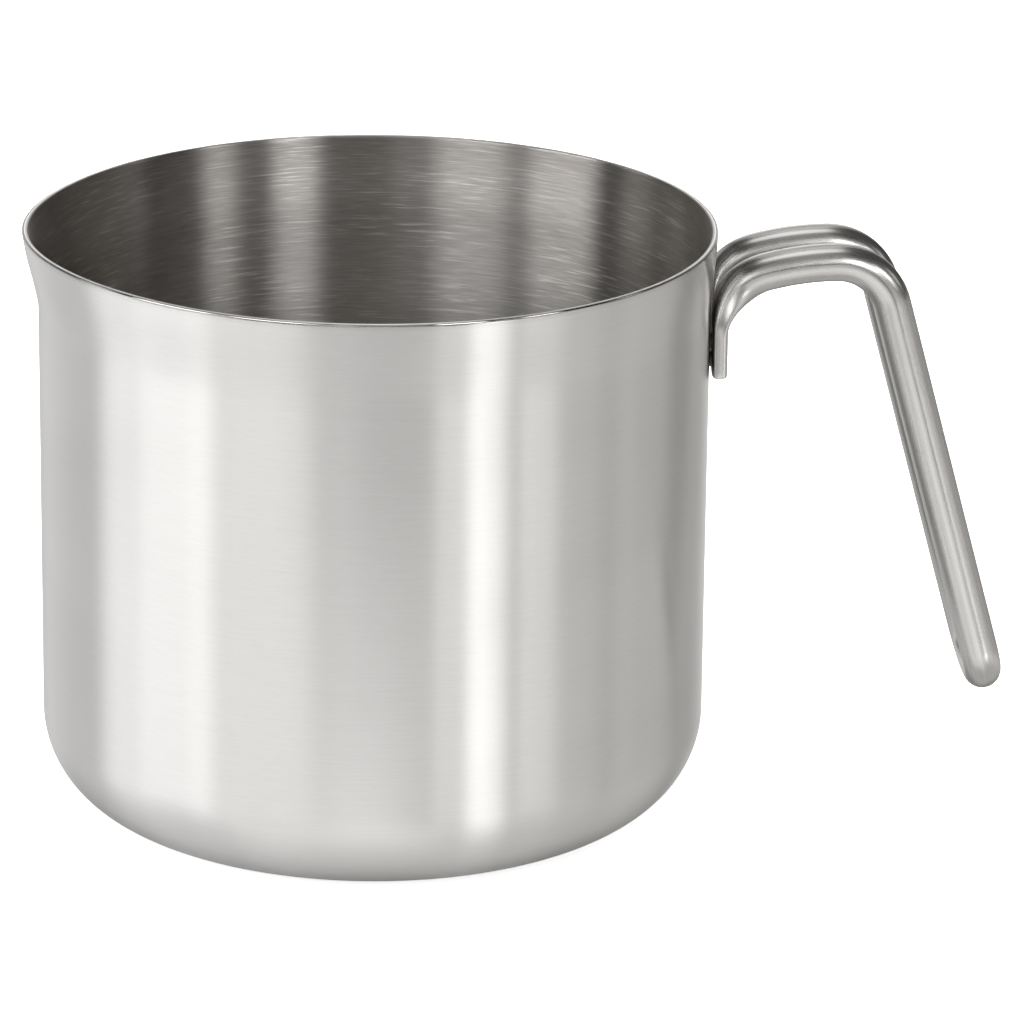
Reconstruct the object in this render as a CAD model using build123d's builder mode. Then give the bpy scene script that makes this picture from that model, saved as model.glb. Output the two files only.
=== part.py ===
"""Stovetop milk pan with a drawn body, a pulled pouring lip and a hairpin rod handle, in millimetres.

The pan's axis is Z and its flat base rests on Z = 0. The handle points along +X, the pouring lip along -X.
The body is one drawn sheet of three bonded layers. Its handle is one round rod with pressed feet, held by welds.
"""

import os
from math import asin, cos, exp, pi, radians, sin

from build123d import *

# Body: outside sizes of the drawn sheet, and its three layers from the outside in.
wall_radius = 70.0
pan_height = 125.0
corner_radius = 20.0
skin_thickness = 0.3
core_thickness = 0.65
liner_thickness = 0.3

# Rim: the top of the wall opens outwards all round, and further at the pouring lip.
flare_height = 18.0
rim_flare = 1.3
lip_pull = 2.0
lip_spread_angle = 25.0

# Handle: one rod bent into a hairpin. Drops are measured down from the rim.
rod_diameter = 8.0
rod_spacing = 15.0
bend_radius = 12.5
crown_radius = 61.0
crown_rise_angle = 14.0
crown_drop = 7.8
grip_lean_angle = 15.3
grip_length = 80.0

# Feet: the rod's two ends, pressed flat and welded to the wall.
foot_width = 12.5
foot_thickness = 3.4
foot_drop = 31.0
foot_edge_round = 0.4
press_angle = 55.0
weld_gap = 0.35
weld_diameter = 3.5
weld_inset = 2.6

# How far each weld starts inside the wall, whose round face then cuts it.
overrun = 2.0

# The flare's growth from its foot to the rim: share of its height, then share of its full opening.
flare_shares = [(0.16, 0.05), (0.42, 0.34), (0.72, 0.74), (1.0, 1.0)]
# Steps of the pressed transition along the bend, from the foot towards the round rod at share 1.
press_shares = [0.0, 0.25, 0.5, 0.75]
rim_point_count = 24
section_point_count = 16
round_power = 2.0
foot_power = 4.5

# Places that follow from the sizes above.
rod_radius = rod_diameter / 2
rod_offset = rod_spacing / 2
flare_base = pan_height - flare_height
foot_radius = wall_radius + weld_gap + foot_thickness / 2
foot_turn = asin(rod_offset / foot_radius)
foot_x = foot_radius * cos(foot_turn)
foot_bottom = pan_height - foot_drop
crown_rise = radians(crown_rise_angle)
grip_lean = radians(grip_lean_angle)
crown_z = pan_height - crown_drop
bend_x = foot_x + bend_radius
bend_z = crown_z - crown_radius * (1 - cos(crown_rise)) - bend_radius * cos(crown_rise)
crown_x = bend_x + (crown_radius - bend_radius) * sin(crown_rise)
grip_top_x = crown_x + bend_radius * cos(grip_lean)
grip_top_z = crown_z - bend_radius * (1 - sin(grip_lean))
turn_x = grip_top_x + grip_length * sin(grip_lean)
turn_z = grip_top_z - grip_length * cos(grip_lean)


def lip_outline(inset, opening_share):
    """Closed plan outline of the flared wall, at a share of its full opening."""
    points = []
    for index in range(rim_point_count):
        angle = 360.0 * index / rim_point_count
        from_lip = abs(angle - 180.0)
        lip = lip_pull * exp(-((from_lip / lip_spread_angle) ** 2))
        radius = wall_radius - inset + opening_share * (rim_flare + lip)
        points.append((radius * cos(radians(angle)), radius * sin(radians(angle))))
    with BuildSketch() as outline:
        with BuildLine():
            Spline(*points, periodic=True)
        make_face()
    return outline.sketch


def flare_form(inset):
    """The flared top of the wall as a filled form, its outside moved in by an inset."""
    with BuildPart() as form:
        with BuildSketch(Plane.XY.offset(flare_base)):
            Circle(wall_radius - inset)
        for height_share, opening_share in flare_shares:
            with BuildSketch(Plane.XY.offset(flare_base + height_share * flare_height)):
                add(lip_outline(inset, opening_share))
        loft()
    return form.part


def sheet_layer(outer_inset, inner_inset):
    """One layer of the drawn sheet, between two insets from the pan's outside."""
    round_x = wall_radius - corner_radius
    outer_x = wall_radius - outer_inset
    inner_x = wall_radius - inner_inset
    with BuildPart() as layer:
        with BuildSketch(Plane.XZ):
            with BuildLine():
                Line((0, outer_inset), (round_x, outer_inset))
                CenterArc((round_x, corner_radius), corner_radius - outer_inset, -90, 90)
                Line((outer_x, corner_radius), (outer_x, flare_base))
                Line((outer_x, flare_base), (inner_x, flare_base))
                Line((inner_x, flare_base), (inner_x, corner_radius))
                CenterArc((round_x, corner_radius), corner_radius - inner_inset, 0, -90)
                Line((round_x, inner_inset), (0, inner_inset))
                Line((0, inner_inset), (0, outer_inset))
            make_face()
        revolve(axis=Axis.Z)
        add(flare_form(outer_inset) - flare_form(inner_inset))
    return layer.part


# Outer skin: the brushed sheet that the eye and the stove meet.
with BuildPart() as outer_skin:
    add(sheet_layer(0, skin_thickness))
outer_skin.part.label = "outer_skin"

# Aluminium core: spreads the heat, sealed between the skin and the liner and seen only as a line in the rim.
with BuildPart() as aluminium_core:
    add(sheet_layer(skin_thickness, skin_thickness + core_thickness))
aluminium_core.part.label = "aluminium_core"

# Inner liner: the sheet that touches the milk.
with BuildPart() as inner_liner:
    add(sheet_layer(skin_thickness + core_thickness, skin_thickness + core_thickness + liner_thickness))
inner_liner.part.label = "inner_liner"


def press_plane(share):
    """Plane across the rod, at a share of the pressed stretch of its first bend."""
    angle = radians(press_angle) * share
    roll = foot_turn * (1 - eased(share))
    origin = (bend_x - bend_radius * cos(angle), -rod_offset, bend_z + bend_radius * sin(angle))
    across = (sin(roll) * cos(angle), cos(roll), -sin(roll) * sin(angle))
    return Plane(origin=origin, x_dir=across, z_dir=(sin(angle), 0, cos(angle)))


def eased(share):
    """Soft start and end for a value that changes along the pressed stretch."""
    return share * share * (3 - 2 * share)


def press_outline(share):
    """Section of the rod, from the flat rounded foot at share 0 to the full round rod at share 1."""
    half_width = (foot_width + (rod_diameter - foot_width) * eased(share)) / 2
    half_thickness = (foot_thickness + (rod_diameter - foot_thickness) * eased(share)) / 2
    power = 2 / (foot_power + (round_power - foot_power) * eased(share))
    points = []
    for index in range(section_point_count):
        angle = 2 * pi * index / section_point_count
        side = abs(cos(angle)) ** power * (1 if cos(angle) > 0 else -1)
        height = abs(sin(angle)) ** power * (1 if sin(angle) > 0 else -1)
        points.append((half_width * side, half_thickness * height))
    with BuildSketch() as outline:
        with BuildLine():
            Spline(*points, periodic=True)
        make_face()
    return outline.sketch


# Handle rod: foot, pressed bend, crown, second bend, grip and half of the turn at its end, then its mirror image.
with BuildPart() as handle_rod:
    with BuildSketch(press_plane(0)):
        add(press_outline(0))
    extrude(amount=foot_bottom - bend_z)
    foot_edges = handle_rod.edges().group_by(Axis.Z)[0]
    fillet(foot_edges, radius=foot_edge_round)
    for press_share in press_shares:
        with BuildSketch(press_plane(press_share)):
            add(press_outline(press_share))
    with BuildSketch(press_plane(1)):
        Circle(rod_radius)
    loft()
    with BuildLine() as rod_path:
        with BuildLine(Plane.XZ.offset(rod_offset)):
            CenterArc((bend_x, bend_z), bend_radius, 180 - press_angle, press_angle + crown_rise_angle - 90)
            crown_centre = (crown_x, crown_z - crown_radius)
            CenterArc(crown_centre, crown_radius, 90 + crown_rise_angle, -crown_rise_angle)
            second_centre = (crown_x, crown_z - bend_radius)
            CenterArc(second_centre, bend_radius, 90, grip_lean_angle - 90)
            Line((grip_top_x, grip_top_z), (turn_x, turn_z))
        turn_across = (0, 1, 0)
        turn_normal = (-cos(grip_lean), 0, -sin(grip_lean))
        with BuildLine(Plane(origin=(turn_x, 0, turn_z), x_dir=turn_across, z_dir=turn_normal)):
            CenterArc((0, 0), rod_offset, 180, -90)
    with BuildSketch(press_plane(1)):
        Circle(rod_radius)
    sweep(path=rod_path.line)
    mirror(about=Plane.XZ)
handle_rod.part.label = "handle_rod"

# Weld nuggets: two behind each foot, cut to the wall's round face and to the foot's back.
foot_length = bend_z - foot_bottom
with BuildPart() as weld_nuggets:
    for side in (-1, 1):
        for weld_height in (foot_bottom + weld_inset, foot_bottom + foot_length - weld_inset):
            outward = (cos(foot_turn), side * sin(foot_turn), 0)
            weld_back = wall_radius - overrun
            weld_origin = (weld_back * outward[0], weld_back * outward[1], weld_height)
            with BuildSketch(Plane(origin=weld_origin, x_dir=(0, 0, 1), z_dir=outward)):
                Circle(weld_diameter / 2)
            extrude(amount=overrun + weld_gap)
    with BuildSketch():
        Circle(wall_radius)
    extrude(amount=pan_height, mode=Mode.SUBTRACT)
    add(handle_rod.part, mode=Mode.SUBTRACT)
weld_nuggets.part.label = "weld_nuggets"

os.makedirs("parts", exist_ok=True)
export_step(outer_skin.part, "parts/outer_skin.step")
export_step(aluminium_core.part, "parts/aluminium_core.step")
export_step(inner_liner.part, "parts/inner_liner.step")
export_step(handle_rod.part, "parts/handle_rod.step")
export_step(weld_nuggets.part, "parts/weld_nuggets.step")

for piece in (outer_skin, aluminium_core, inner_liner, handle_rod, weld_nuggets):
    box = piece.part.bounding_box()
    size = (round(box.size.X, 1), round(box.size.Y, 1), round(box.size.Z, 1))
    print(piece.part.label, len(piece.part.solids()), "solid(s)", size, "mm", round(piece.part.volume), "mm3")
print("rod path from", round(bend_z, 2), "to turn at", round(turn_x, 2), round(turn_z, 2))
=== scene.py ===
# %% [markdown]
# A milk pan in brushed steel
#
# This lesson dresses a imported CAD model of a small milk pan. The pan is one drawn sheet of three bonded
# layers with a pouring lip, and its handle is one steel rod bent into a hairpin. The CAD solids fix every
# size and place. Blender adds finer meshes on the same surfaces, the brushed and buffed finishes, and a
# studio to see them in. First the frame is loaded.

from math import asin, atan2, cos, exp, pi, radians, sin

import bpy
from mathutils import Matrix, Vector


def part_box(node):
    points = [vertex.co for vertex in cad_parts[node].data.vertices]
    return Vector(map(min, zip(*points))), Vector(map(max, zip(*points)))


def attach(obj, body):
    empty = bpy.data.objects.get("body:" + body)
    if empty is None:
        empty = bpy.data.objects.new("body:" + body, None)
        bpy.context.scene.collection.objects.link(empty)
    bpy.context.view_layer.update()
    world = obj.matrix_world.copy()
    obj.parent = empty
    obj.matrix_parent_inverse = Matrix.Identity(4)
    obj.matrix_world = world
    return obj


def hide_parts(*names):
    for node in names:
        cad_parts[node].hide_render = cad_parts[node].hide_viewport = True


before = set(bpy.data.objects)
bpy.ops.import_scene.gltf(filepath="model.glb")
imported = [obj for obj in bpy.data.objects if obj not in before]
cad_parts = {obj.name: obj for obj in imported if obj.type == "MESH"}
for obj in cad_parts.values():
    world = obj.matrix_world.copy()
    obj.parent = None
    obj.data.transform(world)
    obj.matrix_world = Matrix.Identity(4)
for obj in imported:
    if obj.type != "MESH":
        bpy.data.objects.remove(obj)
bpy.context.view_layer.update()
print("nodes:", sorted(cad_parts))

# %% [markdown]
# The sizes come from the frame where it can give them. The skin's box holds the pan's height and the radius
# of the plain rim. What a box can't give, such as the corner's radius, is a named value in millimetres here.

# %% Sizes of the body
mm = 0.001
skin_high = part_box("outer_skin")[1]
pan_height = skin_high.z
rim_radius = skin_high.y
sheet_thickness = 1.25 * mm
skin_thickness = 0.3 * mm
liner_thickness = 0.3 * mm
rim_flare = 1.3 * mm
wall_radius = rim_radius - rim_flare
corner_radius = 20 * mm
flare_height = 18 * mm
flare_base = pan_height - flare_height
lip_pull = 2.0 * mm
lip_spread = radians(25)
print("pan height", round(pan_height / mm, 2), "mm, wall radius", round(wall_radius / mm, 2), "mm")

# %% [markdown]
# Each piece of this pan is a skin laid over rows of points: rings round the body, or sections along the rod.
# So one helper serves them all. It joins neighbouring rows with four-sided faces, wraps each row round to
# its start, and closes the first and last row with a fan. Smooth shading then hides the small flats. The
# rod also marks each point with its place along the rod, which its finish needs later.

# %% Helper: a closed mesh from rows of points
def woven_mesh(name, rows, marks=None):
    """An object whose mesh joins rows of equal length and closes both ends with fans."""
    count = len(rows[0])
    points = [point for row in rows for point in row]
    faces = []
    for row in range(len(rows) - 1):
        here, above = row * count, (row + 1) * count
        for index in range(count):
            beside = (index + 1) % count
            faces.append((here + index, here + beside, above + beside, above + index))
    for row, backwards in ((0, True), (len(rows) - 1, False)):
        centre = len(points)
        points.append([sum(point[axis] for point in rows[row]) / count for axis in range(3)])
        for index in range(count):
            first, second = row * count + index, row * count + (index + 1) % count
            faces.append((second, first, centre) if backwards else (first, second, centre))
    mesh = bpy.data.meshes.new(name)
    mesh.from_pydata(points, [], faces)
    mesh.polygons.foreach_set("use_smooth", [True] * len(mesh.polygons))
    if marks:
        attribute = mesh.attributes.new("rod_place", "FLOAT_VECTOR", "POINT")
        point_marks = [mark for row in marks for mark in row] + [marks[0][0], marks[-1][0]]
        attribute.data.foreach_set("vector", [value for mark in point_marks for value in mark])
    piece = bpy.data.objects.new(name, mesh)
    bpy.context.scene.collection.objects.link(piece)
    print(name, "has", len(mesh.polygons), "faces")
    return piece


# %% [markdown]
# The body's wall is round, flares a little at the top, and is pulled further out at the lip. Every layer of
# the sheet follows the same outline, moved in by its own inset. The flare's curve passes through the same
# shares as the CAD loft, and a Hermite spline between them keeps it as smooth as drawn metal.

# %% Outline of the wall
flare_shares = [(0.0, 0.0), (0.16, 0.05), (0.42, 0.34), (0.72, 0.74), (1.0, 1.0)]


def flare_slope(index):
    """Slope of the flare's curve at one of its shares, from its neighbours."""
    if index == 0:
        return 0.0
    before = flare_shares[index - 1]
    after = flare_shares[min(index + 1, len(flare_shares) - 1)]
    return (after[1] - before[1]) / (after[0] - before[0])


def flare_opening(height_share):
    """Share of the flare's opening at a share of its height."""
    for index in range(len(flare_shares) - 1):
        (low, start), (high, end) = flare_shares[index], flare_shares[index + 1]
        if height_share <= high:
            step = high - low
            place = (height_share - low) / step
            rise = place * place * (3 - 2 * place)
            lead = place * (1 - place) ** 2 * step * flare_slope(index)
            trail = place * place * (place - 1) * step * flare_slope(index + 1)
            return start + (end - start) * rise + lead + trail
    return 1.0


def wall_opening(angle, height):
    """How far the wall at this angle and height stands outside the plain cylinder."""
    share = flare_opening(max(height - flare_base, 0.0) / flare_height)
    from_lip = abs(abs(atan2(sin(angle), cos(angle))) - pi)
    return share * (rim_flare + lip_pull * exp(-((from_lip / lip_spread) ** 2)))


print("the rim opens", round(wall_opening(0.0, pan_height) / mm, 2), "mm by the handle")
print("and", round(wall_opening(pi, pan_height) / mm, 2), "mm at the lip")

# %% [markdown]
# A layer's own outline is a chain of (radius, height) stations. The outer chain climbs from the centre of the
# base over the corner and the wall to the rim, and the inner chain comes back down. The two outside edges of
# the cut rim are rounded, because a deburred edge catches a thin line of light, which the photograph shows.
# A face that shows gets many stations, and a face that is bonded to its neighbour gets few.

# %% Stations of one layer
ring_count = 224
edge_round = 0.26 * mm
edge_drop = 0.5 * mm
edge_steps = 8
base_shares = (0.02, 0.25, 0.5, 0.75, 1.0)
shown_steps = {"corner": 24, "wall": 8, "flare": 20}
bonded_steps = {"corner": 10, "wall": 2, "flare": 8}


def climbing_stations(inset, steps):
    """Stations of one face of the sheet, from the centre of the base up to just under the rim."""
    round_centre = wall_radius - corner_radius
    bend = corner_radius - inset
    stations = [(round_centre * share, inset) for share in base_shares]
    for step in range(1, steps["corner"] + 1):
        angle = pi / 2 * step / steps["corner"]
        stations.append((round_centre + bend * sin(angle), corner_radius - bend * cos(angle)))
    for step in range(1, steps["wall"] + 1):
        height = corner_radius + (flare_base - corner_radius) * step / steps["wall"]
        stations.append((wall_radius - inset, height))
    for step in range(1, steps["flare"]):
        stations.append((wall_radius - inset, flare_base + flare_height * step / steps["flare"]))
    return stations


def edge_stations(inset, rounded, outward):
    """Stations round one edge of the cut rim: a small oval quarter round, or a plain corner."""
    side = 1 if outward else -1
    if not rounded:
        return [(wall_radius - inset, pan_height)]
    centre = wall_radius - inset - side * edge_round
    turns = [pi / 2 * step / edge_steps for step in range(edge_steps + 1)]
    return [(centre + side * edge_round * cos(a), pan_height - edge_drop * (1 - sin(a))) for a in turns]


print("stations up a face that shows:", len(climbing_stations(0.0, shown_steps)))

# %% [markdown]
# The three layers are three pieces, as they are in the metal: a steel skin outside, a thicker aluminium core,
# and a steel liner inside. Each stands in for its CAD node, on the same surfaces, with finer faces. A ring
# of points at each station follows the wall's outline, so the lip comes out of the same helper.

# %% Make the three layers
def layer_piece(name, outer_inset, inner_inset):
    """One layer of the sheet as a closed mesh, with its rim rounded where it is an outside edge."""
    shows_outside = outer_inset == 0
    shows_inside = inner_inset > sheet_thickness - edge_round
    outer = climbing_stations(outer_inset, shown_steps if shows_outside else bonded_steps)
    outer += edge_stations(outer_inset, shows_outside, True)
    inner = climbing_stations(inner_inset, shown_steps if shows_inside else bonded_steps)
    inner += edge_stations(inner_inset, shows_inside, False)
    rows = []
    for radius, height in outer + inner[::-1]:
        ring = []
        for index in range(ring_count):
            angle = 2 * pi * index / ring_count
            reach = radius + wall_opening(angle, height)
            ring.append((reach * cos(angle), reach * sin(angle), height))
        rows.append(ring)
    return woven_mesh(name, rows)


body_skin = layer_piece("body_skin", 0.0, skin_thickness)
body_core = layer_piece("body_core", skin_thickness, sheet_thickness - liner_thickness)
body_liner = layer_piece("body_liner", sheet_thickness - liner_thickness, sheet_thickness)

# %% [markdown]
# The handle is one rod. It starts as a pressed foot on the wall, swings up and out in a first bend, crosses a
# shallow crown, turns down into a leaning grip, and comes back along its twin. Its path is worked out as in
# the CAD: from the drops and radii of the bends. The foot is held 0.35 mm off the wall by its welds.

# %% Sizes of the handle
rod_diameter = 8.0 * mm
rod_radius = rod_diameter / 2
rod_offset = 7.5 * mm
bend_radius = 12.5 * mm
crown_radius = 61 * mm
crown_rise = radians(14)
crown_drop = 7.8 * mm
grip_lean = radians(15.3)
grip_length = 80 * mm
foot_drop = 31 * mm
foot_width = 12.5 * mm
foot_thickness = 3.4 * mm
foot_round = 0.4 * mm
press_angle = radians(55)
weld_gap = 0.35 * mm
weld_diameter = 3.5 * mm
weld_inset = 2.6 * mm
round_power, foot_power = 2.0, 4.5

foot_bottom = pan_height - foot_drop
foot_distance = wall_radius + weld_gap + foot_thickness / 2
foot_turn = asin(rod_offset / foot_distance)
bend_x = foot_distance * cos(foot_turn) + bend_radius
crown_z = pan_height - crown_drop
bend_z = crown_z - crown_radius * (1 - cos(crown_rise)) - bend_radius * cos(crown_rise)
crown_x = bend_x + (crown_radius - bend_radius) * sin(crown_rise)
grip_top_x = crown_x + bend_radius * cos(grip_lean)
grip_top_z = crown_z - bend_radius * (1 - sin(grip_lean))
grip_top = Vector((grip_top_x, 0, grip_top_z))
grip_way = Vector((sin(grip_lean), 0, -cos(grip_lean)))
turn_centre = grip_top + grip_length * grip_way
print("rod's turn is centred at", [round(value / mm, 2) for value in turn_centre], "mm")

# %% [markdown]
# A stop along the rod holds a place, the direction across the rod, the direction along it, how far its
# section has gone from pressed to round, and how far its outline is drawn in. The stops of one half are
# listed bend by bend, and the first ones are on the pressed foot and its bend. There the section also turns
# about the rod, because the foot has to face the round wall squarely.

# %% Stops on the pressed foot and the first bend
foot_edge_steps = 5
foot_steps = 8
first_bend_steps = 36


def eased(share):
    """Soft start and end for a value that goes from 0 to 1."""
    return share * share * (3 - 2 * share)


def bend_stop(angle):
    """A stop on the first bend: pressed at its foot, round from the press angle on."""
    share = min(angle / press_angle, 1.0)
    roll = foot_turn * (1 - eased(share))
    place = Vector((bend_x - bend_radius * cos(angle), -rod_offset, bend_z + bend_radius * sin(angle)))
    across = Vector((sin(roll) * cos(angle), cos(roll), -sin(roll) * sin(angle)))
    forward = Vector((sin(angle), 0, cos(angle)))
    return place, across, forward, eased(share), 0.0


def foot_stops():
    """Stops up the straight foot, whose lower edge is rolled over."""
    place, across, forward, share, drawn_in = bend_stop(0.0)
    length = bend_z - foot_bottom
    stops = []
    for step in range(foot_edge_steps + 1):
        turned = pi / 2 * step / foot_edge_steps
        below = length - foot_round * (1 - cos(turned))
        stops.append((place - below * forward, across, forward, share, foot_round * (1 - sin(turned))))
    for step in range(1, foot_steps):
        below = (length - foot_round) * (1 - step / foot_steps)
        stops.append((place - below * forward, across, forward, share, drawn_in))
    return stops


half_stops = foot_stops()
first_bend_turn = pi / 2 - crown_rise
half_stops += [bend_stop(first_bend_turn * step / first_bend_steps) for step in range(first_bend_steps + 1)]
print("stops on the foot and the first bend:", len(half_stops))

# %% [markdown]
# From there on the section stays round. The crown and the second bend are arcs in the rod's upright plane,
# the grip is straight, and the last stops follow the turn at its lower end as far as its middle. The other
# half is this one mirrored and walked backwards, so the rod is one unbroken tube, as the real one is.

# %% Stops on the crown, the grip and the turn
crown_steps = 16
second_bend_steps = 30
grip_steps = 24
turn_steps = 20


def arc_stops(centre_z, radius, start, end, steps):
    """Stops on an arc in the rod's upright plane, its centre under the crown's end."""
    stops = []
    for step in range(1, steps + 1):
        angle = start + (end - start) * step / steps
        place = Vector((crown_x + radius * cos(angle), -rod_offset, centre_z + radius * sin(angle)))
        stops.append((place, Vector((0, 1, 0)), Vector((sin(angle), 0, -cos(angle))), 1.0, 0.0))
    return stops


def grip_stops():
    """Stops down the straight grip and round to the middle of the turn."""
    stops = []
    for step in range(1, grip_steps + 1):
        place = grip_top + grip_way * grip_length * step / grip_steps - Vector((0, rod_offset, 0))
        stops.append((place, Vector((0, 1, 0)), grip_way, 1.0, 0.0))
    for step in range(1, turn_steps + 1):
        angle = pi / 2 * step / turn_steps
        place = turn_centre + rod_offset * (sin(angle) * grip_way - Vector((0, cos(angle), 0)))
        forward = cos(angle) * grip_way + Vector((0, sin(angle), 0))
        across = Vector((0, cos(angle), 0)) - sin(angle) * grip_way
        stops.append((place, across, forward, 1.0, 0.0))
    return stops


crown_start = pi / 2 + crown_rise
half_stops += arc_stops(crown_z - crown_radius, crown_radius, crown_start, pi / 2, crown_steps)
half_stops += arc_stops(crown_z - bend_radius, bend_radius, pi / 2, grip_lean, second_bend_steps)
half_stops += grip_stops()
print("stops on half of the rod:", len(half_stops))

# %% [markdown]
# The section at a stop is a superellipse: a power of 2 gives the round rod, and 4.5 gives the flat foot with
# its rolled edges. Each point also keeps its distance along the rod and its place round the section, because
# the polish lines on a drawn rod run lengthwise, and its finish needs to know which way that is.

# %% Make the handle's tube
section_count = 48


def section_ring(stop):
    """The rod's outline at a stop, as points in space."""
    place, across, forward, share, drawn_in = stop
    through = forward.cross(across)
    half_width = (foot_width + (rod_diameter - foot_width) * share) / 2 - drawn_in
    half_thickness = (foot_thickness + (rod_diameter - foot_thickness) * share) / 2 - drawn_in
    power = 2 / (foot_power + (round_power - foot_power) * share)
    ring = []
    for index in range(section_count):
        angle = 2 * pi * index / section_count
        side = abs(cos(angle)) ** power * (1 if cos(angle) > 0 else -1)
        height = abs(sin(angle)) ** power * (1 if sin(angle) > 0 else -1)
        ring.append(place + across * half_width * side + through * half_thickness * height)
    return ring


def section_marks(along):
    """Distance along the rod and place round it, for each point of a section."""
    turns = [2 * pi * index / section_count for index in range(section_count)]
    return [(along, rod_radius * cos(turn), rod_radius * sin(turn)) for turn in turns]


near_half = [section_ring(stop) for stop in half_stops]
far_half = [[Vector((point.x, -point.y, point.z)) for point in ring] for ring in near_half]
distances = [0.0]
for stop, following in zip(half_stops, half_stops[1:]):
    distances.append(distances[-1] + (following[0] - stop[0]).length)
rod_length = 2 * distances[-1]
near_marks = [section_marks(along) for along in distances]
far_marks = [section_marks(rod_length - along) for along in distances]
handle = woven_mesh("handle", near_half + far_half[-2::-1], near_marks + far_marks[-2::-1])
print("the rod is", round(rod_length / mm), "mm long")

# %% [markdown]
# Four resistance welds hold the feet. Each is a short disc between the wall and a foot's back, with a waist,
# because the metal is drawn in as it cools. They sit deep in the narrow gap behind each foot, so hardly
# anything of them shows.

# %% Make the weld nuggets
weld_steps = 16
weld_waist = [(0.0, 1.0), (0.2, 0.93), (0.5, 0.9), (0.8, 0.93), (1.0, 1.0)]


def nugget_rings(side, height):
    """Rings of one weld, from the wall's face to the foot's back."""
    outward = Vector((cos(foot_turn), side * sin(foot_turn), 0))
    sideways = Vector((-outward.y, outward.x, 0))
    rings = []
    for share, swell in weld_waist:
        ring = []
        for index in range(weld_steps):
            turn = 2 * pi * index / weld_steps
            reach = weld_diameter / 2 * swell
            offset = reach * cos(turn)
            wall_face = (wall_radius**2 - offset**2) ** 0.5
            distance = wall_face + share * (wall_radius + weld_gap - wall_face)
            upward = Vector((0, 0, height + reach * sin(turn)))
            ring.append(outward * distance + sideways * offset + upward)
        rings.append(ring)
    return rings


def joined(name, pieces):
    """Several mesh objects as one."""
    bpy.ops.object.select_all(action="DESELECT")
    for piece in pieces:
        piece.select_set(True)
    bpy.context.view_layer.objects.active = pieces[0]
    bpy.ops.object.join()
    pieces[0].name = name
    return pieces[0]


weld_heights = (foot_bottom + weld_inset, bend_z - weld_inset)
nuggets = [woven_mesh("nugget", nugget_rings(side, height)) for side in (-1, 1) for height in weld_heights]
welds = joined("welds", nuggets)

# %% [markdown]
# Shader maths reads best as plain expressions. This small class wraps a node's output, so that adding or
# multiplying two of them adds the Math node that does it. The reflected forms let a plain number stand
# first, as in 1 - mask.

# %% Helper: shader maths as expressions
class Signal:
    """One output of a node. Arithmetic on it adds Math nodes to its finish."""

    def __init__(self, finish, socket):
        self.finish = finish
        self.socket = socket

    def maths(self, operation, first, second):
        return self.finish.node("ShaderNodeMath", {"operation": operation}, {0: first, 1: second})

    def __add__(self, other):
        return self.maths("ADD", self, other)

    def __sub__(self, other):
        return self.maths("SUBTRACT", self, other)

    def __rsub__(self, other):
        return self.maths("SUBTRACT", other, self)

    def __mul__(self, other):
        return self.maths("MULTIPLY", self, other)

    def __truediv__(self, other):
        return self.maths("DIVIDE", self, other)

    def __pow__(self, other):
        return self.maths("POWER", self, other)

    def __rpow__(self, other):
        return self.maths("POWER", other, self)

    __radd__ = __add__
    __rmul__ = __mul__


# %% [markdown]
# A second class holds one node tree and makes every other node through a single method: its type, its
# settings, then what goes into its sockets. A new material keeps its main shader, and what is the same all
# over its surface is set on that shader's own sockets.

# %% Helper: a material and its nodes
class Finish:
    """One node tree, of a material or of the studio's surroundings."""

    def __init__(self, tree):
        self.tree = tree

    def node(self, kind, settings=None, sockets=None, output=0):
        """Adds a node, sets it up, fills its sockets with numbers or signals, and gives one output."""
        node = self.tree.nodes.new(kind)
        for setting, value in (settings or {}).items():
            setattr(node, setting, value)
        for name, value in (sockets or {}).items():
            if isinstance(value, Signal):
                self.tree.links.new(value.socket, node.inputs[name])
            else:
                node.inputs[name].default_value = value
        return Signal(self, node.outputs[output]) if node.outputs else None

    def feed(self, shader, name, signal):
        """Links a signal to one socket of a node that is already there."""
        self.tree.links.new(signal.socket, shader.inputs[name])


def new_finish(name, **constants):
    """A material with its main shader's own sockets set, and the finish that builds its nodes."""
    material = bpy.data.materials.new(name)
    material.use_nodes = True
    shader = material.node_tree.nodes["Principled BSDF"]
    for socket, value in constants.items():
        shader.inputs[socket.replace("_", " ")].default_value = value
    print("started the material", name)
    return material, shader, Finish(material.node_tree)


# %% [markdown]
# Four more helpers save repeats. A vector is taken apart into its three numbers, a signal is stretched
# between two levels, two colours are mixed by a factor, and a height becomes a bump on the shader's Normal.

# %% Helper: parts, levels, tints and bumps
def three_parts(vector):
    """A vector signal as three signals, one for each axis."""
    parts = vector.finish.node("ShaderNodeSeparateXYZ", None, {0: vector})
    return [Signal(vector.finish, parts.socket.node.outputs[axis]) for axis in "XYZ"]


def level(signal, low, high, bottom=0.0, top=1.0):
    """A signal stretched so that low and high become bottom and top, and held between them."""
    sockets = {"Value": signal, "From Min": low, "From Max": high, "To Min": bottom, "To Max": top}
    return signal.finish.node("ShaderNodeMapRange", {"clamp": True}, sockets)


def tint(factor, dark, light):
    """A colour between two, by a factor. Each of the two is three numbers or a signal."""
    first, second = [colour if isinstance(colour, Signal) else (*colour, 1) for colour in (dark, light)]
    settings = {"data_type": "RGBA", "clamp_factor": True}
    return factor.finish.node("ShaderNodeMix", settings, {"Factor": factor, 6: first, 7: second}, 2)


def bump(shader, height, strength, distance):
    """Feeds a bump made from a height signal to the shader's Normal."""
    sockets = {"Strength": strength, "Distance": distance, "Height": height}
    height.finish.feed(shader, "Normal", height.finish.node("ShaderNodeBump", None, sockets))


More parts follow.
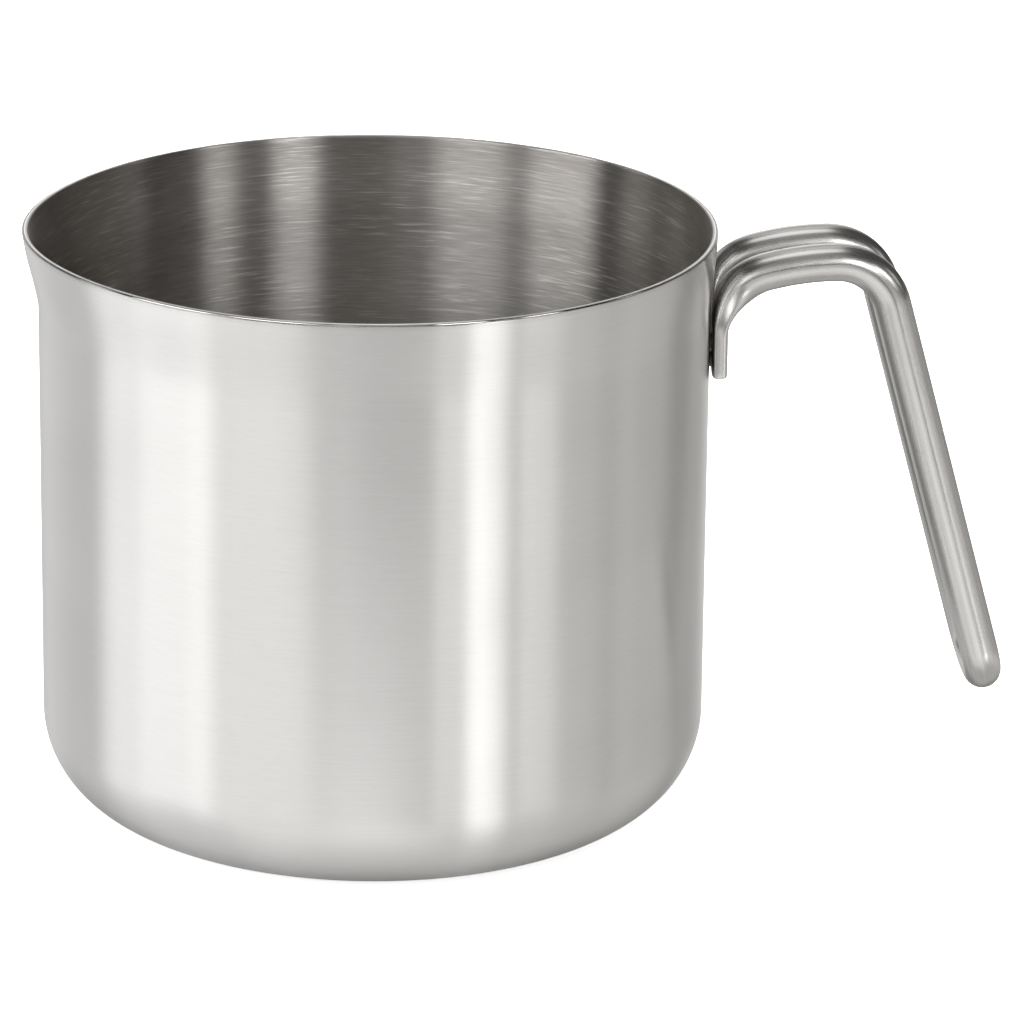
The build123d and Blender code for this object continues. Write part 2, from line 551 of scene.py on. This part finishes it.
# %% [markdown]
# Brushed steel is not one grey. A belt runs round the pan and leaves fine level scratches, some deeper than
# others, and broad clouds where it pressed harder. All of them are long sideways and short upwards, so each
# is a noise on coordinates that are squeezed sideways and stretched upwards. Height plus radius is used for
# the short way, because it keeps growing over the corner and across the base, where the scratches become
# circles.

# %% Helper: scratches that run round the pan
def body_place(finish):
    """The place on the pan, as three signals."""
    return three_parts(finish.node("ShaderNodeTexCoord", output="Object"))


def round_scratches(finish, length, spacing, detail, roughness=0.5):
    """Noise that is long round the pan's axis and short across the scratches."""
    x, y, z = body_place(finish)
    across = z + (x * x + y * y) ** 0.5
    stretched = {0: x / length, 1: y / length, 2: across / spacing}
    place = finish.node("ShaderNodeCombineXYZ", None, stretched)
    sockets = {"Vector": place, "Scale": 1.0, "Detail": detail, "Roughness": roughness}
    return finish.node("ShaderNodeTexNoise", {"noise_dimensions": "3D"}, sockets)


# %% [markdown]
# A brushed surface smears its reflections across the brush lines and keeps them sharp along them. The
# shader's Anisotropic does that, and a quarter turn of Anisotropic Rotation makes the smear run up and down
# the wall. That is why the photograph's lamps show as tall even bands. The real relief is far finer than any
# bump can be drawn, so the bump here stays tiny, and most of the scratches are in the colour.

# %% Finish of the outer skin
brushed = {"Metallic": 1.0, "Anisotropic": 1.0, "Anisotropic_Rotation": 0.25}
brush_relief, brush_depth = 0.5, 0.005 * mm
skin_dark, skin_light = (0.66, 0.652, 0.638), (0.70, 0.694, 0.682)
# Painted shade: the dark colour of the rim's top edge.
painted_edge_shade = (0.20, 0.197, 0.192)

skin_finish, shader, finish = new_finish("brushed_skin", **brushed)
fine = round_scratches(finish, 4 * mm, 0.2 * mm, 2.0, 0.6)
deep = round_scratches(finish, 16 * mm, 0.45 * mm, 2.0)
clouds = round_scratches(finish, 70 * mm, 22 * mm, 1.0)
wear = level(fine * 0.6 + deep * 0.4, 0.36, 0.64)
patch = level(clouds, 0.35, 0.65)
brushed_colour = tint(wear * 0.75 + patch * 0.25, skin_dark, skin_light)
bump(shader, fine * 0.8 + deep * 0.2, brush_relief, brush_depth)

# %% [markdown]
# The rim's outside edge was deburred by another tool than the belt, so it is smoother there. Its colour is
# painted darker too, a painted shade that leaves a thin dark line under the bright one. A little of that
# painted grey reaches down the wall below it.

# %% The skin's deburred edge and painted shade
height = body_place(finish)[2]
# Deburred band at the rim: smoother, and also painted dark as painted shade.
deburred_and_painted_dark = level(height, pan_height - edge_drop * 1.2, pan_height - edge_drop * 0.9)
# Painted shade that fades down the wall under the edge.
painted_shade_under_edge = level(height, pan_height - edge_drop * 3, pan_height - edge_drop) * 0.15
finish.feed(shader, "Base Color", tint(painted_shade_under_edge + deburred_and_painted_dark * 0.45, brushed_colour, painted_edge_shade))
finish.feed(shader, "Roughness", 0.29 + wear * 0.02 - patch * 0.01 - deburred_and_painted_dark * 0.18)
print("the deburred edge is", round(edge_drop * 1.2 / mm, 2), "mm high")

# %% [markdown]
# The inside is brushed by a coarser belt, and every whisk adds to it. Between the fine lines are single
# deeper scratches, which show bright where a lamp stands opposite. They come from the same noise, cut off
# high, so that only its peaks are left, and a slow noise decides where they gather. The liner is the same
# steel as the skin, but its colour is painted darker: painted shade for the dim inside of the pan.

# %% Finish of the inner liner
# The dark end of the liner's colour is painted shade, far darker than the same steel outside.
liner_painted_shade, liner_light = (0.35, 0.334, 0.318), (0.69, 0.66, 0.63)

liner_finish, shader, finish = new_finish("brushed_liner", **brushed)
fine = round_scratches(finish, 5 * mm, 0.22 * mm, 2.0, 0.6)
deep = round_scratches(finish, 10 * mm, 0.4 * mm, 2.0)
gathered = round_scratches(finish, 30 * mm, 12 * mm, 2.0)
wear = level(fine * 0.6 + deep * 0.4, 0.36, 0.64)
scratches = level(deep * 0.7 + fine * 0.3, 0.55, 0.66) * level(gathered, 0.42, 0.62)
finish.feed(shader, "Base Color", tint(wear * 0.35 + scratches * 0.65, liner_painted_shade, liner_light))
finish.feed(shader, "Roughness", 0.345 + scratches * 0.04)
bump(shader, fine * 0.6 + deep * 0.4, brush_relief, brush_depth)

# %% [markdown]
# The core only shows as the middle line of the cut rim. Aluminium is a little lighter and duller than steel,
# and a belt has left short marks along the edge.

# %% Finish of the core
core_dark, core_light = (0.62, 0.62, 0.61), (0.78, 0.78, 0.77)

core_finish, shader, finish = new_finish("cut_core", Metallic=1.0)
marks = round_scratches(finish, 2.5 * mm, 0.2 * mm, 2.0)
finish.feed(shader, "Base Color", tint(level(marks, 0.35, 0.65), core_dark, core_light))
finish.feed(shader, "Roughness", 0.26 + marks * 0.08)

# %% [markdown]
# The rod is smoother than the body. It was drawn through a die and then buffed lengthwise, so it is nearly a
# mirror with faint lines along it. The lines follow the mesh's own rod_place mark instead of space, so they
# turn with every bend. A second, rounder noise leaves the slight waves of hand buffing.

# %% Finish of the rod
rod_dark, rod_light = (0.47, 0.462, 0.449), (0.57, 0.561, 0.547)
line_length, line_spacing = 14 * mm, 0.35 * mm

rod_finish, shader, finish = new_finish("buffed_rod", Metallic=1.0)
place = finish.node("ShaderNodeAttribute", {"attribute_name": "rod_place"}, output="Vector")
line_scale = {0: place, 1: (1 / line_length, 1 / line_spacing, 1 / line_spacing)}
line_place = finish.node("ShaderNodeVectorMath", {"operation": "MULTIPLY"}, line_scale)
lines = finish.node("ShaderNodeTexNoise", None, {"Vector": line_place, "Scale": 1.0, "Detail": 3.0})
buffing = finish.node("ShaderNodeTexNoise", None, {"Vector": place, "Scale": 260.0, "Detail": 2.0})
wear = level(lines, 0.35, 0.65)
finish.feed(shader, "Base Color", tint(wear * 0.6 + buffing * 0.4, rod_dark, rod_light))
finish.feed(shader, "Roughness", 0.24 + wear * 0.04 + buffing * 0.04)
bump(shader, lines * 0.7 + buffing * 0.3, 0.08, 0.04 * mm)

# %% [markdown]
# A resistance weld heats the steel until it turns straw brown and grey. It is never polished afterwards
# behind a foot, so it stays dull and blotchy.

# %% Finish of the welds
straw_brown, burnt_grey = (0.30, 0.22, 0.15), (0.42, 0.40, 0.40)

weld_finish, shader, finish = new_finish("heat_tinted_weld", Metallic=1.0)
place = finish.node("ShaderNodeTexCoord", output="Object")
heat = finish.node("ShaderNodeTexNoise", None, {"Vector": place, "Scale": 900.0, "Detail": 2.0})
finish.feed(shader, "Base Color", tint(level(heat, 0.35, 0.65), straw_brown, burnt_grey))
finish.feed(shader, "Roughness", 0.45 + heat * 0.2)

# %% [markdown]
# Each row names a piece, its finish, the material slot of the record that it is, and its CAD node. Every
# piece now takes its finish, stands in for its CAD node, and rides on the one body that the pan has.

# %% Dress the pieces
dressing = [
    (body_skin, skin_finish, "skin_steel", "outer_skin"),
    (body_core, core_finish, "core_aluminium", "aluminium_core"),
    (body_liner, liner_finish, "liner_steel", "inner_liner"),
    (handle, rod_finish, "rod_steel", "handle_rod"),
    (welds, weld_finish, "weld_steel", "weld_nuggets"),
]
for piece, finish_used, slot_name, node in dressing:
    piece.data.materials.clear()
    piece.data.materials.append(finish_used)
    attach(piece, "root")
    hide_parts(node)
    print(piece.name, "stands for", node)

# %% [markdown]
# Steel has no colour of its own to speak of: it shows the room. So the studio is a large part of the look.
# The camera comes first. It stands where the photograph was taken from, which was found by fitting a camera
# to the pan's outline, and it looks down at the pan by about 19 degrees through a long lens.

# %% Camera at the photograph's angle
scene = bpy.context.scene
camera_data = bpy.data.cameras.new("camera")
camera_data.sensor_width = 36.0
camera_data.lens = 217.97
camera_data.clip_start, camera_data.clip_end = 0.05, 20.0
camera = bpy.data.objects.new("camera", camera_data)
scene.collection.objects.link(camera)
camera.location = (-107.9 * mm, -1233.7 * mm, 482.8 * mm)
camera_turn, camera_tilt, camera_roll = radians(6.346), radians(18.757), radians(0.703)
aim = Matrix.Rotation(-camera_turn, 4, "Z") @ Matrix.Rotation(pi / 2 - camera_tilt, 4, "X")
camera.rotation_euler = (aim @ Matrix.Rotation(camera_roll, 4, "Z")).to_euler()
scene.camera = camera
print("camera looks along", [round(value, 4) for value in aim.to_3x3() @ Vector((0, 0, -1))])

# %% [markdown]
# The bands on the wall are reflections of soft lamps and of the darker gaps between them. The surroundings
# hold those lamps as smooth shapes on a ball that is endlessly large. A ray's own direction says which lamp
# it meets: its side, counted in degrees from the camera's side and positive towards the handle, and its
# height, from -1 straight down to 1 straight up.

# %% The surroundings and their directions
scene.view_settings.view_transform = "Standard"
scene.view_settings.look = "None"
world = bpy.data.worlds.new("studio")
scene.world = world
world.use_nodes = True
world.node_tree.nodes.clear()
sky = Finish(world.node_tree)
camera_side = radians(-90 - 5)
natural_base = exp(1)
never_zero = 0.0001
ray_x, ray_y, ray_z = three_parts(sky.node("ShaderNodeTexCoord", output="Generated"))
flat_length = (ray_x * ray_x + ray_y * ray_y + never_zero) ** 0.5
print("made the surroundings", world.name)

# %% [markdown]
# Two kinds of lamp are enough for this studio: a wide glow without an edge, and an upright strip with soft
# edges. A window then keeps a light between two heights.

# %% Helper: lamps of the surroundings
def towards(side):
    """How directly a ray points to one side: 1 straight at it, -1 straight away."""
    angle = camera_side + radians(side)
    return (ray_x * cos(angle) + ray_y * sin(angle)) / flat_length


def soft_lamp(side, narrowness):
    """A wide glow from one side, without an edge."""
    return natural_base ** ((towards(side) - 1) * narrowness)


def tall_lamp(side, half_width, softness):
    """An upright strip lamp on one side, with soft edges."""
    inner = cos(radians(max(half_width - softness, 0.5)))
    outer = cos(radians(half_width + softness))
    return level(towards(side), outer, inner)


def strip_lamps(strips):
    """Several upright strip lamps: the side, half width, softness and strength of each."""
    glow = 0.0
    for side, half_width, softness, strength in strips:
        glow = tall_lamp(side, half_width, softness) * strength + glow
    return glow


def height_window(low, high, softness):
    """1 between two heights of the ray, 0 outside, with soft borders."""
    rise = level(ray_z, low - softness, low + softness)
    fall = level(ray_z, high - softness, high + softness, 1.0, 0.0)
    return rise * fall


# %% [markdown]
# The camera looks down, so the outer wall mirrors what lies below the horizon: the pools of light that the
# lamps leave on the table. The wall lamps give the wall its bands. The horizon lamps, some of them dark,
# adjust what the leaning grip mirrors, and the table lamps what the bottom corner mirrors.

# %% Light below the horizon
wall_lamps = [
    (-140, 20, 6, 0.28), (-112, 7, 4, 0.2), (-94, 11, 3, 0.88), (-72, 11, 3, 0.44), (-54, 8, 4, 0.52),
    (0, 22, 5, 0.36), (39.5, 5.5, 3.5, 2.9), (50, 4, 3, 0.55), (72, 12, 5, 0.43), (105, 16, 6, 0.22),
    (170, 14, 6, 0.25),
]
horizon_lamps = [
    (-75, 22, 5, 0.5), (-34, 12, 4, -0.35), (11, 14, 6, -0.3), (32, 12, 5, -0.7), (40, 7, 3, -2.0),
    (110, 44, 8, -0.24),
]
table_lamps = [(-15, 43, 12, 0.55), (180, 40, 10, -0.35)]
table_light = 0.66

wall_glow = (strip_lamps(wall_lamps) + soft_lamp(0, 40) * 0.5) * level(ray_z, -0.62, -0.40)
horizon_glow = strip_lamps(horizon_lamps) * height_window(-0.245, 0.10, 0.03)
table_glow = strip_lamps(table_lamps) * height_window(-0.85, -0.45, 0.06)
low_light = table_light + wall_glow + horizon_glow + table_glow
print("lamps below the horizon:", len(wall_lamps) + len(horizon_lamps) + len(table_lamps))

# %% [markdown]
# The inside of the pan mirrors what stands above the horizon on the camera's side: a row of bright strip
# lamps with dark gaps, which gives the inside its light and dark stripes. The rim and the handle's crown are
# lit by a lamp overhead, a wash from the front and a light behind the pan. The room itself is nearly black.

# %% Light above the horizon
row_lamps = [
    (-104, 7, 3, 2.1), (-71, 14, 2, 7.75), (-51, 6, 2, 2.5), (-34, 12, 4, 7.8), (-14, 7, 3, 1.75),
    (3, 17, 3, 0.6), (29, 8, 1.5, 8.3), (46, 6, 2, 1.05), (58, 6, 1.5, 5.9), (95, 5, 2, 1.6),
]
room_light = 0.07

lamp_row = strip_lamps(row_lamps) * height_window(0.22, 0.48, 0.03)
front_wash = height_window(0.48, 0.97, 0.03) * tall_lamp(11, 20, 8) * 0.35
rear_heights = height_window(0.05, 0.80, 0.03) * 0.6 + height_window(0.80, 0.95, 0.03)
rear_wash = rear_heights * tall_lamp(180, 24, 8)
rim_light = height_window(0.15, 0.42, 0.04) * tall_lamp(180, 12, 4) * 1.1
overhead = level(ray_z, 0.955, 0.98) * 1.8
high_light = room_light + lamp_row + front_wash + rear_wash + rim_light + overhead
print("lamps in the bright row:", len(row_lamps))

# %% [markdown]
# The two halves meet at the horizon. The lamps themselves are white, and what is dim is slightly warm,
# because light that has wandered about a room picks up its warmth. The wall's far left stays neutral, as in
# the photograph.

# %% Join and colour the light
neutral_white, warm_white = (1.0, 1.0, 1.0), (1.0, 0.982, 0.962)

below = level(ray_z, -0.03, 0.01, 1.0, 0.0)
brightness = low_light * below + high_light * (1 - below)
coolness = level(brightness, 0.7, 1.5) + level(towards(-115), 0.5, 0.9)
light_sockets = {"Color": tint(coolness, warm_white, neutral_white), "Strength": brightness}
glow = sky.node("ShaderNodeBackground", None, light_sockets)
sky.node("ShaderNodeOutputWorld", None, {"Surface": glow})
print("nodes in the surroundings:", len(world.node_tree.nodes))

# %% [markdown]
# A wide lamp under the ceiling lights the floor evenly. It is kept out of reflections, because the overhead
# lamp of the surroundings already shows there.

# %% Ceiling lamp
ceiling_data = bpy.data.lights.new("ceiling_lamp", "AREA")
ceiling_data.shape = "DISK"
ceiling_data.size = 1.6
ceiling_data.energy = 60.0
ceiling = bpy.data.objects.new("ceiling_lamp", ceiling_data)
scene.collection.objects.link(ceiling)
ceiling.location = (-0.15, -0.1, 1.7)
ceiling.visible_glossy = False
ceiling.visible_camera = False
print("ceiling lamp of", ceiling_data.energy, "watts")

# %% [markdown]
# The floor is a light table: pale, and glowing a little by itself, so that it shows no shadow, like the one
# in the photograph. It is kept out of reflections too, because the surroundings' lower half stands in for it
# there with the lamps' pools of light. Its square comes from a helper, which the dark cards use as well.

# %% Floor
def flat_square(name, reach, height):
    """A flat square about the upright axis, whose sides stand at the given reach from it."""
    corners = [(x * reach, y * reach, height) for x, y in ((-1, -1), (1, -1), (1, 1), (-1, 1))]
    square_mesh = bpy.data.meshes.new(name)
    square_mesh.from_pydata(corners, [], [(0, 1, 2, 3)])
    square = bpy.data.objects.new(name, square_mesh)
    scene.collection.objects.link(square)
    return square


floor_reach, floor_height = 3.0, -0.02 * mm
floor = flat_square("floor", floor_reach, floor_height)
table_constants = {"Roughness": 0.9, "Specular_IOR_Level": 0.0, "Emission_Strength": 0.72}
floor_finish, shader, finish = new_finish("pale_floor", **table_constants)
place = finish.node("ShaderNodeTexCoord", output="Object")
mottle = finish.node("ShaderNodeTexNoise", None, {"Vector": place, "Scale": 3.0, "Detail": 1.0})
pale = tint(mottle, (0.93, 0.93, 0.93), (0.95, 0.95, 0.95))
finish.feed(shader, "Base Color", pale)
finish.feed(shader, "Emission Color", pale)
floor.data.materials.append(floor_finish)
floor.visible_glossy = False
floor.visible_shadow = False

# %% [markdown]
# Photographers lay dark cards beside shiny things, so that something dark shows in them. One card lies in
# front of the pan and gives its wall a grey patch. Another lies under the base as a painted shadow: it stands
# in for the pan's own shadow on the table and darkens the bottom corner. Both show in reflections only.

# %% Dark cards that only the steel sees
def dark_card(name, place, reach, inner, opacity):
    """A dark flat disc that fades out between an inner share of its reach and the whole of it."""
    card = flat_square(name, 1.0, 0.0)
    card.location = place
    card.scale = (*reach, 1)
    card_finish, shader, finish = new_finish(name, Roughness=1.0, Specular_IOR_Level=0.0)
    here = finish.node("ShaderNodeTexCoord", output="Object")
    distance = finish.node("ShaderNodeVectorMath", {"operation": "LENGTH"}, {0: here}, "Value")
    finish.feed(shader, "Alpha", level(distance, inner, 1.0, opacity, 0.0))
    finish.feed(shader, "Base Color", tint(distance, (0.02, 0.02, 0.02), (0.03, 0.03, 0.03)))
    card.data.materials.append(card_finish)
    card.visible_camera = card.visible_diffuse = card.visible_shadow = False


dark_card("flag", (-60 * mm, -340 * mm, 0.5 * mm), (185 * mm, 120 * mm), 0.6, 0.97)
# A painted shadow under the base, standing in for the pan's own shadow.
dark_card("base_shade", (0, 0, -0.01 * mm), (68 * mm, 68 * mm), 0.82, 0.85)
